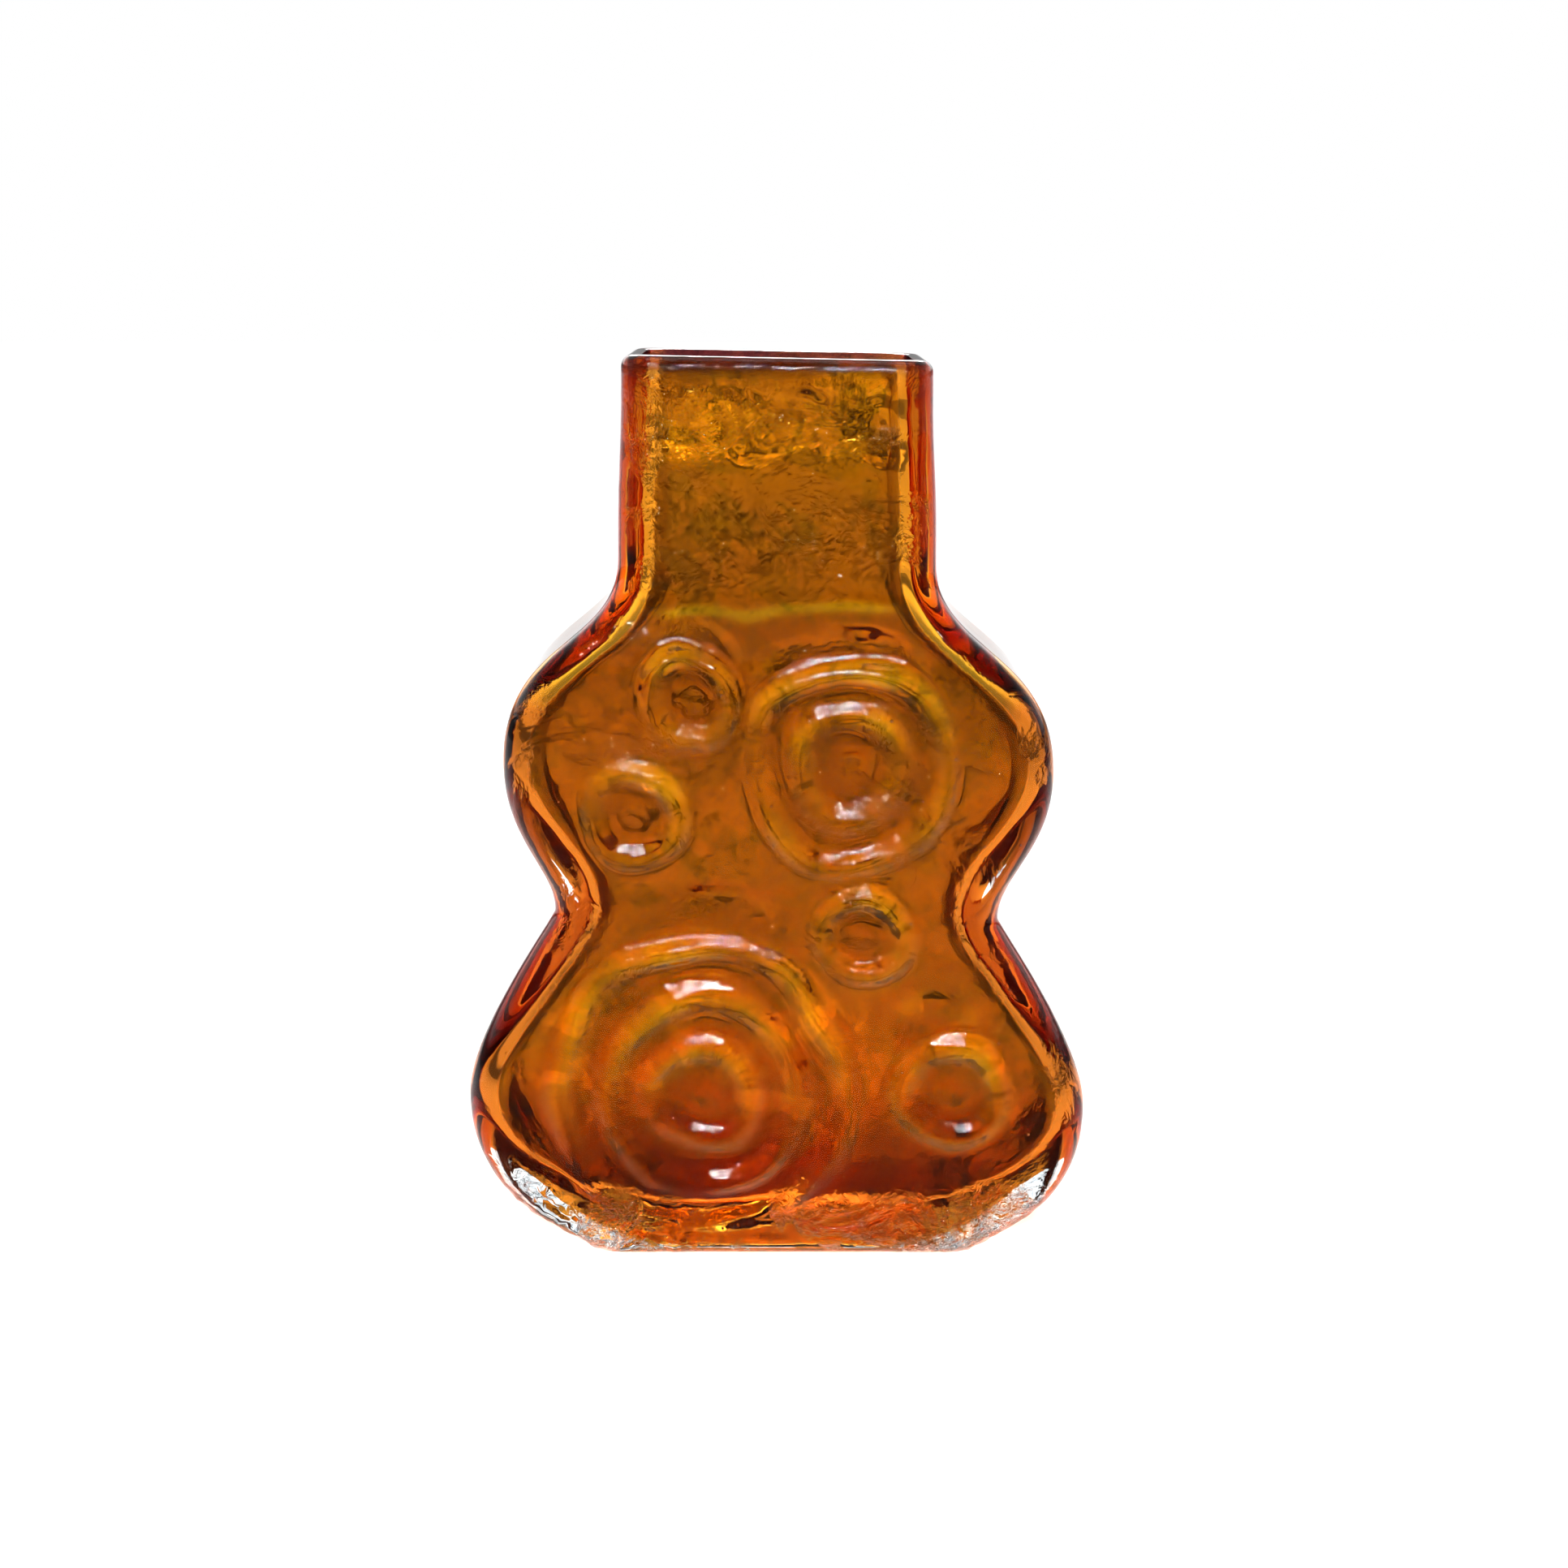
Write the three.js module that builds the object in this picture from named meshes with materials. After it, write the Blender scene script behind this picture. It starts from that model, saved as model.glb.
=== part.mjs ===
// A flat, mould-blown glass vase: a square neck over two stacked lobes with a nipped waist.
// The wall is cased glass in two layers. The clear casing carries raised ripples on both
// faces, and the coloured lining inside it holds the water. Both layers end at the rim.
// Millimetres, +Z up, front face towards -Y, origin in the middle of the rest face.
import * as THREE from "three";

// Heights, stacked from the rest face up
const lowerLobeRise = 32; // rest face to the widest part of the lower lobe
const waistRise = 38.5; // lower lobe to the waist
const upperLobeRise = 29; // waist to the widest part of the upper lobe
const shoulderRise = 41.5; // upper lobe to the root of the neck
const neckLength = 39; // root of the neck to the top of the rim

// Widths seen from the front
const restWidth = 77;
const lowerLobeWidth = 123.8;
const waistWidth = 88.2;
const upperLobeWidth = 108.8;
const neckWidth = 62.2;
const rimWidth = 60.4;

// Depths between the front and back faces, without the ripples
const bodyDepth = 51.2;
const neckDepth = 46;
const stepBelowNeck = 5; // root of the neck down to the top of the shoulder step
const stepRise = 18; // height over which the faces step out from neck to body

// Roundings
const edgeRadius = 6; // upright edges, where the faces turn into the sides
const bedEdgeRadius = 4.5; // the same edges where the two layers meet
const cavityEdgeRadius = 5.5; // and inside the lining
const heelRadius = 5; // faces into the rest face
const lipRadius = 2.4; // outside of the rim
const mouthRadius = 2.2; // inside of the rim

// Clear casing: thickness seen from the front at each station, over the faces, under the lining
const casingHeel = 8;
const casingLowerLobe = 1.4;
const casingWaist = 4.6;
const casingUpperLobe = 1.2;
const casingNeck = 2.8;
const casingFace = 2.2;
const casingFloor = 2.5;

// Coloured lining: thickness at the sides, over the faces and at the floor
const liningSide = 2.2;
const liningFace = 2.6;
const liningFloor = 7.5;
const layerGap = 0.3; // kept between the layers, which are fused together in the real wall

// Rounded foot of the lining, inside and out
const footLevel = 14; // height on the outline where the foot begins
const footReach = 34; // how far in from the sides the floor becomes flat
const footFaceRadius = 4.5; // faces into the floor

// Ripples: rings round a centre, as across, up, spacing of the crests and number of rings
const rippleHeight = 2;
const middleShare = 0.35; // height of the crest in the middle of the rings, as a share
const crestSharpness = 1.4; // above 1 the crests are narrower than the valleys
const largeSpacing = 9.6; // crest to crest in the large groups of rings
const lowerSpacing = 9.2; // and in the single rings, by where they stand
const sideSpacing = 8.8;
const waistSpacing = 8.4;
const upperSpacing = 8;
const ripples = [
  { across: 14, up: 101, spacing: largeSpacing, rings: 2 },
  { across: -28, up: 91, spacing: sideSpacing, rings: 1 },
  { across: -17, up: 114, spacing: upperSpacing, rings: 1 },
  { across: 17, up: 67, spacing: waistSpacing, rings: 1 },
  { across: -15, up: 35, spacing: largeSpacing, rings: 3 },
  { across: 35, up: 36, spacing: lowerSpacing, rings: 1 },
];
const rippleMargin = 12; // ripples die away over this distance from the sides

// Hand-made irregularities: levels drop towards the right, and the middle wanders sideways
const handSlope = 0.02;
const slopeStart = 14; // height over which the slope sets in
const wander = [
  [0, 1.6],
  [12, 0.1],
  [70, 0],
  [100, 0.4],
  [140, 0.1],
];

// Fineness of the faceted surfaces
const ripplePitch = 3.2; // between levels where the ripples are
const plainPitch = 9; // between levels elsewhere
const rippleAcross = 36; // pieces of each face where the ripples are
const plainAcross = 8; // and elsewhere
const cornerSteps = 4; // round each upright edge
const lipSteps = 3;
const footSteps = 5;

// Levels of the outline
const lowerLobeZ = lowerLobeRise;
const waistZ = lowerLobeZ + waistRise;
const upperLobeZ = waistZ + upperLobeRise;
const neckRootZ = upperLobeZ + shoulderRise;
const rimZ = neckRootZ + neckLength;

// How long each stretch of the outline stays upright at its two ends, as shares of its rise
const heelHold = 0.75;
const lobeHold = 0.34;
const waistHold = 0.04;
const waistHoldAbove = 0.28;
const upperLobeHold = 0.51;
const shoulderHold = 0.61;
const neckHold = 0.44;
const heelReach = 0.1; // how flat the heel leaves the rest face, as shares of its step
const heelLift = 0.2;

const clamp01 = (v) => Math.min(1, Math.max(0, v));
const smooth = (v) => clamp01(v) ** 2 * (3 - 2 * clamp01(v));
const mix = (a, b, t) => a + (b - a) * t;

// Smooth curve through values given at rising heights
function atHeight(z, stations) {
  const next = stations.findIndex(([height]) => height > z);
  if (next === 0) return stations[0][1];
  if (next < 0) return stations[stations.length - 1][1];
  const [[z0, v0], [z1, v1]] = [stations[next - 1], stations[next]];
  return mix(v0, v1, smooth((z - z0) / (z1 - z0)));
}

// A stretch of outline that leaves its lower end and meets its upper end upright
function bulge(lowHalf, lowZ, highHalf, highZ, lowHold, highHold) {
  const rise = highZ - lowZ;
  return new THREE.CubicBezierCurve(
    new THREE.Vector2(lowHalf, lowZ),
    new THREE.Vector2(lowHalf, lowZ + lowHold * rise),
    new THREE.Vector2(highHalf, highZ - highHold * rise),
    new THREE.Vector2(highHalf, highZ),
  );
}

// The front outline from heel to lip, as rows of half width, height and outward normal
function outlineRows(pitch) {
  const rest = restWidth / 2;
  const lower = lowerLobeWidth / 2;
  const waist = waistWidth / 2;
  const upper = upperLobeWidth / 2;
  const neck = neckWidth / 2;
  const heel = new THREE.CubicBezierCurve(
    new THREE.Vector2(rest, 0),
    new THREE.Vector2(mix(rest, lower, heelReach), heelLift * lowerLobeRise),
    new THREE.Vector2(lower, lowerLobeZ - heelHold * lowerLobeRise),
    new THREE.Vector2(lower, lowerLobeZ),
  );
  const stretches = [
    [heel, pitch],
    [bulge(lower, lowerLobeZ, waist, waistZ, lobeHold, waistHold), pitch],
    [bulge(waist, waistZ, upper, upperLobeZ, waistHoldAbove, upperLobeHold), pitch],
    [bulge(upper, upperLobeZ, neck, neckRootZ, shoulderHold, neckHold), pitch],
    [bulge(neck, neckRootZ, rimWidth / 2, rimZ - lipRadius, 0.5, 0.5), plainPitch],
  ];
  const rows = [];
  for (const [curve, spacing] of stretches) {
    const count = Math.max(3, Math.round(curve.getLength() / spacing));
    for (let i = rows.length ? 1 : 0; i <= count; i++) {
      const point = curve.getPointAt(i / count);
      const tangent = curve.getTangentAt(i / count);
      rows.push({ half: point.x, z: point.y, out: tangent.y, up: -tangent.x });
    }
  }
  return rows;
}

// How far a quarter round of this radius has drawn in, at a height above its foot
function tuck(radius, height) {
  const under = radius - Math.min(radius, Math.max(0, height));
  return radius - Math.sqrt(radius ** 2 - under ** 2);
}

// Half depth of the outer faces at a height
function halfDepth(z) {
  const stepTop = neckRootZ - stepBelowNeck;
  const stations = [
    [stepTop - stepRise, bodyDepth / 2],
    [stepTop, neckDepth / 2],
  ];
  return atHeight(z, stations) - tuck(heelRadius, z);
}

// Thickness of the clear casing seen from the front, at a height
const casingAt = (z) =>
  atHeight(z, [
    [0, casingHeel],
    [lowerLobeZ, casingLowerLobe],
    [waistZ, casingWaist],
    [upperLobeZ, casingUpperLobe],
    [neckRootZ, casingNeck],
  ]);

// Height of the ripples at a point of a face, on a level of this half width
function rippleAt(x, z, half) {
  const heights = ripples.map(({ across, up, spacing, rings }) => {
    const turns = Math.hypot(x - across, z - up) / spacing;
    if (turns >= rings + 0.5) return 0;
    const crest = (Math.cos(Math.PI * turns) ** 2) ** crestSharpness;
    return crest * (turns < 0.5 ? middleShare : 1);
  });
  return rippleHeight * Math.max(...heights) * smooth((half - Math.abs(x)) / rippleMargin);
}

// One level as a closed loop, counter-clockwise seen from above: a rounded rectangle with
// the ripples standing out of its two faces where they are wanted
function level(half, depth, radius, z, rippled = false) {
  const across = rippled ? rippleAcross : plainAcross;
  const points = [];
  const corner = (x, y, start) => {
    for (let i = 0; i <= cornerSteps; i++) {
      const turn = start + (i / cornerSteps) * (Math.PI / 2);
      points.push(new THREE.Vector3(x + radius * Math.cos(turn), y + radius * Math.sin(turn), z));
    }
  };
  const face = (y, from, to) => {
    for (let i = 1; i < across; i++) {
      const x = mix(from, to, i / across);
      const proud = rippled ? rippleAt(x, z, half) : 0;
      points.push(new THREE.Vector3(x, y + Math.sign(y) * proud, z));
    }
  };
  const cx = half - radius;
  const cy = depth - radius;
  face(-depth, -cx, cx);
  corner(cx, -cy, -Math.PI / 2);
  corner(cx, cy, 0);
  face(depth, cx, -cx);
  corner(-cx, cy, Math.PI / 2);
  corner(-cx, -cy, Math.PI);
  return points;
}

// Faces between two loops of any counts, always closing the shorter diagonal
function strip(points, low, high) {
  const faces = [];
  const at = (loop, i) => loop.start + (i % loop.count);
  const gap = (a, b) => points[a].distanceToSquared(points[b]);
  let i = 0;
  let j = 0;
  while (i < low.count || j < high.count) {
    const forward = gap(at(low, i + 1), at(high, j));
    const back = gap(at(low, i), at(high, j + 1));
    if (j === high.count || (i < low.count && forward <= back)) {
      faces.push(at(low, i), at(low, i + 1), at(high, j));
      i += 1;
    } else {
      faces.push(at(low, i), at(high, j + 1), at(high, j));
      j += 1;
    }
  }
  return faces;
}

// Closed skin over a run of loops, with a flat cap on the first and on the last
function skin(loops) {
  const middle = (loop) => new THREE.Vector3(0, 0, loop[0].z);
  const points = [middle(loops[0]), ...loops.flat(), middle(loops[loops.length - 1])];
  const runs = [];
  let start = 1;
  for (const loop of loops) {
    runs.push({ start, count: loop.length });
    start += loop.length;
  }
  for (const point of points) {
    point.z -= handSlope * point.x * smooth(point.z / slopeStart);
    point.x += atHeight(point.z, wander);
  }
  const faces = [];
  const first = runs[0];
  const last = runs[runs.length - 1];
  for (let i = 0; i < first.count; i++) {
    faces.push(0, first.start + ((i + 1) % first.count), first.start + i);
  }
  for (let r = 0; r + 1 < runs.length; r++) faces.push(...strip(points, runs[r], runs[r + 1]));
  for (let i = 0; i < last.count; i++) {
    faces.push(last.start + i, last.start + ((i + 1) % last.count), points.length - 1);
  }
  const geometry = new THREE.BufferGeometry().setFromPoints(points);
  geometry.setIndex(faces);
  geometry.computeVertexNormals();
  return geometry;
}

// Loops of a surface inside the wall, from its floor up to a height: the outline set in
// along its normal, over a rounded foot that runs into a flat floor
function insetLoops(sideInset, faceInset, radius, floorZ, topZ) {
  const walls = outlineRows(plainPitch * 0.75)
    .filter((row) => row.z > footLevel && row.z < topZ - lipRadius)
    .map((row) => ({
      half: row.half - row.out * sideInset(row.z),
      z: row.z - row.up * sideInset(row.z),
    }));
  const [foot, above] = walls;
  const rise = 0.55 * (foot.z - floorZ);
  const slope = (above.half - foot.half) / (above.z - foot.z);
  const curve = new THREE.CubicBezierCurve(
    new THREE.Vector2(foot.half - footReach, floorZ),
    new THREE.Vector2(foot.half - 0.45 * footReach, floorZ),
    new THREE.Vector2(foot.half - slope * rise, foot.z - rise),
    new THREE.Vector2(foot.half, foot.z),
  );
  const feet = curve.getPoints(footSteps).slice(0, -1);
  const top = { half: rimWidth / 2 - sideInset(rimZ), z: topZ };
  return [...feet.map((p) => ({ half: p.x, z: p.y })), ...walls, top].map(({ half, z }) => {
    const depth = halfDepth(z) - faceInset - tuck(footFaceRadius, z - floorZ);
    return level(half, depth, radius, z);
  });
}

// Quarter round of the rim from its foot to its top, standing on a level of these halves
function rimLoops(half, depth, edge, radius, outside) {
  const loops = [];
  for (let i = 1; i <= lipSteps; i++) {
    const turn = (i / lipSteps) * (Math.PI / 2);
    const move = radius * (1 - Math.cos(turn)) * (outside ? -1 : 1);
    loops.push(level(half + move, depth + move, edge + move, rimZ - radius * (1 - Math.sin(turn))));
  }
  return loops;
}

function clearCasing() {
  const atRim = -layerGap / 2;
  const outer = outlineRows(ripplePitch).map((row) =>
    level(row.half, halfDepth(row.z), edgeRadius, row.z, row.z < neckRootZ),
  );
  const lip = rimLoops(rimWidth / 2, halfDepth(rimZ), edgeRadius, lipRadius, true);
  const bed = insetLoops(
    (z) => casingAt(z) + atRim,
    casingFace + atRim,
    bedEdgeRadius,
    casingFloor + atRim,
    rimZ,
  );
  return skin([...outer, ...lip, ...bed.reverse()]);
}

function colouredLining() {
  const setIn = layerGap / 2;
  const outside = insetLoops(
    (z) => casingAt(z) + setIn,
    casingFace + setIn,
    bedEdgeRadius - layerGap,
    casingFloor + setIn,
    rimZ,
  );
  const inside = insetLoops(
    (z) => casingAt(z) + liningSide,
    casingFace + liningFace,
    cavityEdgeRadius,
    casingFloor + liningFloor,
    rimZ - mouthRadius,
  );
  const mouth = rimLoops(
    rimWidth / 2 - casingNeck - liningSide,
    halfDepth(rimZ) - casingFace - liningFace,
    cavityEdgeRadius,
    mouthRadius,
    false,
  );
  return skin([...outside, ...mouth.reverse(), ...inside.reverse()]);
}

const clearGlass = new THREE.MeshStandardMaterial({
  color: 0xe9efec,
  roughness: 0.04,
  metalness: 0,
  transparent: true,
  opacity: 0.35,
});
const orangeGlass = new THREE.MeshStandardMaterial({
  color: 0xc8610f,
  roughness: 0.06,
  metalness: 0,
  transparent: true,
  opacity: 0.75,
});

function piece(name, geometry, material) {
  const mesh = new THREE.Mesh(geometry, material);
  mesh.name = name;
  return mesh;
}

const vase = new THREE.Group();
vase.add(piece("clear_casing", clearCasing(), clearGlass));
vase.add(piece("coloured_lining", colouredLining(), orangeGlass));

export default vase;
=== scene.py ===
"""A flat, mould-blown vase of cased glass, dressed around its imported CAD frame.

The vase has two layers. A clear casing carries raised ripples and the marks of the mould, and
an orange lining inside it holds the water. Here the casing is one body of clear glass from the
outside to the cavity, and the lining is a layer of colour inside that body, as in cased glass,
where no surface is left between the two. Sizes are in metres, front face towards -Y.
"""
import logging
import math
from dataclasses import dataclass, field
from enum import Enum
from typing import Callable, Mapping, Sequence

import bpy
import numpy as np
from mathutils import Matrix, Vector, noise


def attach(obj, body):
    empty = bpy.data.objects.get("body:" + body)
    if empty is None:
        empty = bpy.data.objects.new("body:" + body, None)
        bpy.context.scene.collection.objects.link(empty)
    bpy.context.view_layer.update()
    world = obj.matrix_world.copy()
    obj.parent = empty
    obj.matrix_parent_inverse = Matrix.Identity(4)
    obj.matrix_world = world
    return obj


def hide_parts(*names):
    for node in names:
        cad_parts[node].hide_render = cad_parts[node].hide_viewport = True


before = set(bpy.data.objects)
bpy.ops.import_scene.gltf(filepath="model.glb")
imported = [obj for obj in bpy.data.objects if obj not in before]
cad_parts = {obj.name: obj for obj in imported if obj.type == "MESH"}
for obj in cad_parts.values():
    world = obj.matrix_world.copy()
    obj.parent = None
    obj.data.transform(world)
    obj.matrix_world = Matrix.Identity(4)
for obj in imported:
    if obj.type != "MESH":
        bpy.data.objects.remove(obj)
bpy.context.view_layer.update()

LOG = logging.getLogger("vase")
MM = 0.001
ROOT = "root"
CAVITY_SIDE = "cavity_side"
# Thinner colour on the ring crests, with painted highlights on their upper arcs and along the ledge, and
# painted shade in their valleys.
CREST_THINNING_AND_PAINTED_LIGHT = "crest_thinning_and_painted_light"
TALL = 180 * MM
MIDDLE = (0.0, 0.0, 90 * MM)
ROUND_STEPS = 6

Pair = tuple[float, float]
Triple = tuple[float, float, float]
Stops = tuple[Pair, ...]
ColourStops = tuple[tuple[float, Triple], ...]
Tree = bpy.types.NodeTree
Node = bpy.types.Node
Socket = bpy.types.NodeSocket
Array = np.ndarray


class Slot(Enum):
    """The record's material slots."""

    CLEAR = "clear_glass"
    ORANGE = "orange_glass"


def by_mm(*stops: tuple[float, float | Triple]) -> tuple[tuple[float, float | Triple], ...]:
    """Give stops in metres whose heights are written in millimetres."""
    return tuple((height * MM, value) for height, value in stops)


def smooth(share: Array) -> Array:
    """Ease from 0 to 1 over the shares 0 to 1."""
    held = np.clip(share, 0.0, 1.0)
    return held * held * (3.0 - 2.0 * held)


def at_height(z: Array, stations: Sequence[Pair]) -> Array:
    """Follow a smooth curve through values given at rising heights.

    Args:
        z: Heights to read the curve at.
        stations: Pairs of height and value.

    Returns:
        The value at each height, held level past both ends.
    """
    value = np.full_like(z, stations[0][1])
    for (low, below), (high, above) in zip(stations, stations[1:]):
        value += (above - below) * smooth((z - low) / (high - low))
    return value


def tuck(radius: float, height: Array) -> Array:
    """Tell how far a quarter round has drawn in at a height above its foot."""
    under = radius - np.clip(height, 0.0, radius)
    return radius - np.sqrt(radius**2 - under**2)


def add_node(tree: Tree, kind: str, inputs: Mapping[str | int, object], **settings: object) -> Node:
    """Add a node to a tree.

    Args:
        tree: The tree.
        kind: The node's type name.
        inputs: Values or sockets for its inputs, by name or place.
        settings: Values for its properties.

    Returns:
        The node.
    """
    made = tree.nodes.new(kind)
    for name, value in settings.items():
        setattr(made, name, value)
    for name, value in inputs.items():
        if isinstance(value, Socket):
            tree.links.new(value, made.inputs[name])
        else:
            made.inputs[name].default_value = value
    return made


def add_sum(tree: Tree, operation: str, *values: Socket | float) -> Socket:
    """Add a sum to a tree and give its result."""
    return add_node(tree, "ShaderNodeMath", dict(enumerate(values)), operation=operation).outputs[0]


def add_span(
    tree: Tree,
    value: Socket,
    low: Socket | float,
    high: Socket | float,
    levels: Pair = (0.0, 1.0),
    eased: bool = False,
) -> Socket:
    """Go from one level to another as a value goes from low to high.

    Args:
        tree: The tree.
        value: The value.
        low: Where the first level ends.
        high: Where the second level starts.
        levels: The two levels.
        eased: Whether it starts and ends gently.

    Returns:
        The level.
    """
    values = {"Value": value, "From Min": low, "From Max": high, "To Min": levels[0], "To Max": levels[1]}
    curve = "SMOOTHSTEP" if eased else "LINEAR"
    return add_node(tree, "ShaderNodeMapRange", values, interpolation_type=curve).outputs["Result"]


def add_mix(
    tree: Tree,
    where: Socket | float,
    one: Socket | Triple,
    other: Socket | Triple,
    blend: str = "MIX",
) -> Socket:
    """Change one colour for another, or multiply it by that, where a mask says so.

    Args:
        tree: The tree.
        where: The mask.
        one: The colour where the mask is 0.
        other: The colour that comes in where it is 1.
        blend: The way they mix.

    Returns:
        The colour.
    """
    values = {"Factor": where}
    for label, colour in (("A", one), ("B", other)):
        values[label] = (*colour, 1.0) if isinstance(colour, tuple) else colour
    return add_node(tree, "ShaderNodeMix", values, data_type="RGBA", blend_type=blend).outputs["Result"]


def add_ramp(tree: Tree, value: Socket, stops: Stops | ColourStops, top: float = 1.0) -> Socket:
    """Add a colour ramp to a tree.

    Args:
        tree: The tree.
        value: The value to look up.
        stops: Pairs of a value and its colour or grey level.
        top: The value at the end of the ramp, which starts at 0.

    Returns:
        The colour.
    """
    ramp = add_node(tree, "ShaderNodeValToRGB", {0: add_span(tree, value, 0.0, top)})
    elements = ramp.color_ramp.elements
    while len(elements) < len(stops):
        elements.new(1.0)
    for element, (place, colour) in zip(elements, stops):
        element.position = place / top
        element.color = (*colour, 1.0) if isinstance(colour, tuple) else (colour, colour, colour, 1.0)
    return ramp.outputs[0]


def add_parts(tree: Tree, label: str) -> Node:
    """Split a texture coordinate of the piece into its X, Y and Z."""
    place = tree.nodes.new("ShaderNodeTexCoord")
    return add_node(tree, "ShaderNodeSeparateXYZ", {0: place.outputs[label]})


@dataclass(frozen=True)
class Grain:
    """Soft noise in patches, with their sizes in millimetres along X, Y and Z."""

    across: float
    along: float
    up: float
    shift: float
    finer: float = 0.43
    finer_shift: float = 7.3
    valleys: Pair = (1.6, 0.7)

    def soft(self, points: Array) -> Array:
        """Read the noise.

        Args:
            points: Places in metres, one row each.

        Returns:
            Values of about -1 to 1.
        """
        spread = points / (np.array([self.across, self.along, self.up]) * MM) + self.shift
        return np.array([noise.noise(Vector(place)) for place in spread])

    def creased(self, points: Array) -> Array:
        """Read the noise with sharp valleys, as on glass that chilled against cold metal.

        Args:
            points: Places in metres, one row each.

        Returns:
            Values of at most 1, lower in the valleys.
        """
        sizes = [self.finer * size for size in (self.across, self.along, self.up)]
        fine = Grain(*sizes, self.shift + self.finer_shift).soft(points)
        return 1.0 - self.valleys[0] * np.abs(self.soft(points)) - self.valleys[1] * np.abs(fine)


@dataclass(frozen=True)
class Rows:
    """Rows up a surface, each with its half width, height and outward normal."""

    half: Array
    z: Array
    out: Array
    up: Array

    def inset(self, depth: Array) -> "Rows":
        """Move each row inwards along its normal."""
        return Rows(self.half - self.out * depth, self.z - self.up * depth, self.out, self.up)

    def between(self, low: float, high: float) -> "Rows":
        """Keep the rows above one height and below another."""
        keep = (self.z > low) & (self.z < high)
        return Rows(self.half[keep], self.z[keep], self.out[keep], self.up[keep])


def curve_rows(handles: Sequence[Pair], pitch: float, samples: int = 401) -> Array:
    """Step evenly along a cubic curve.

    Args:
        handles: The curve's two ends with its two handles between them.
        pitch: Distance between steps.
        samples: Number of places at which the curve is measured.

    Returns:
        Columns of half width, height, outward and upward part of the normal.
    """
    p = np.array(handles)
    t = np.linspace(0.0, 1.0, samples)[:, None]
    place = (1 - t) ** 3 * p[0] + 3 * t * (1 - t) ** 2 * p[1] + 3 * t**2 * (1 - t) * p[2] + t**3 * p[3]
    speed = (1 - t) ** 2 * (p[1] - p[0]) + 2 * t * (1 - t) * (p[2] - p[1]) + t**2 * (p[3] - p[2])
    speed /= np.linalg.norm(speed, axis=1, keepdims=True)
    run = np.concatenate([[0.0], np.cumsum(np.linalg.norm(np.diff(place, axis=0), axis=1))])
    steps = np.linspace(0.0, run[-1], max(3, round(run[-1] / pitch)) + 1)
    columns = (place[:, 0], place[:, 1], speed[:, 1], -speed[:, 0])
    return np.stack([np.interp(steps, run, column) for column in columns], axis=1)


@dataclass(frozen=True)
class Outline:
    """The front outline, as the half width and height of each of its stations.

    The holds say how far up and down each part keeps upright at its two ends.
    """

    rest: Pair = (38.5 * MM, 0.0)
    lower_lobe: Pair = (61.9 * MM, 32.0 * MM)
    waist: Pair = (44.1 * MM, 70.5 * MM)
    upper_lobe: Pair = (54.4 * MM, 99.5 * MM)
    neck_root: Pair = (31.1 * MM, 141.0 * MM)
    rim: Pair = (30.2 * MM, TALL)
    holds: Stops = ((0.34, 0.04), (0.28, 0.51), (0.61, 0.44), (0.5, 0.5))
    lip_radius: float = 2.4 * MM
    heel_reach: float = 0.1
    heel_lift: float = 0.2
    heel_hold: float = 0.75

    def rows(self, pitch: float) -> Rows:
        """Step up the outline from the rest face to the foot of the lip.

        Args:
            pitch: Distance between rows.

        Returns:
            The rows with their normals.
        """
        (rest, _), (lower, lower_z) = self.rest, self.lower_lobe
        heel = [
            self.rest,
            (rest + self.heel_reach * (lower - rest), self.heel_lift * lower_z),
            (lower, lower_z * (1.0 - self.heel_hold)),
            self.lower_lobe,
        ]
        lip = (self.rim[0], self.rim[1] - self.lip_radius)
        stations = [self.lower_lobe, self.waist, self.upper_lobe, self.neck_root, lip]
        parts = [curve_rows(heel, pitch)]
        for low, high, (low_hold, high_hold) in zip(stations, stations[1:], self.holds):
            rise = high[1] - low[1]
            handles = [low, (low[0], low[1] + low_hold * rise), (high[0], high[1] - high_hold * rise), high]
            parts.append(curve_rows(handles, pitch)[1:])
        return Rows(*np.concatenate(parts).T)


@dataclass(frozen=True)
class Section:
    """One level seen from above: a rounded rectangle as a template of points.

    A point lies at its share of the straight sides plus its normal times the edge radius.
    """

    across: int = 96
    along: int = 22
    corner: int = 6

    def template(self) -> Array:
        """Lay out the points of a loop, counter-clockwise from the front left.

        Returns:
            Columns of the shares along X and Y and the normal's X and Y.
        """
        points: list[tuple[float, float, float, float]] = []
        for sx, sy, start in ((1, -1, -0.5), (1, 1, 0.0), (-1, 1, 0.5), (-1, -1, 1.0)):
            flat = self.across if sx == -sy else self.along
            for i in range(1, flat):
                share = -1.0 + 2.0 * i / flat
                points.append((share * sx, sy, 0.0, sy) if sx == -sy else (sx, share * sy, sx, 0.0))
            for i in range(self.corner + 1):
                turn = (start + 0.5 * i / self.corner) * math.pi
                points.append((sx, sy, math.cos(turn), math.sin(turn)))
        return np.array(points)


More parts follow.
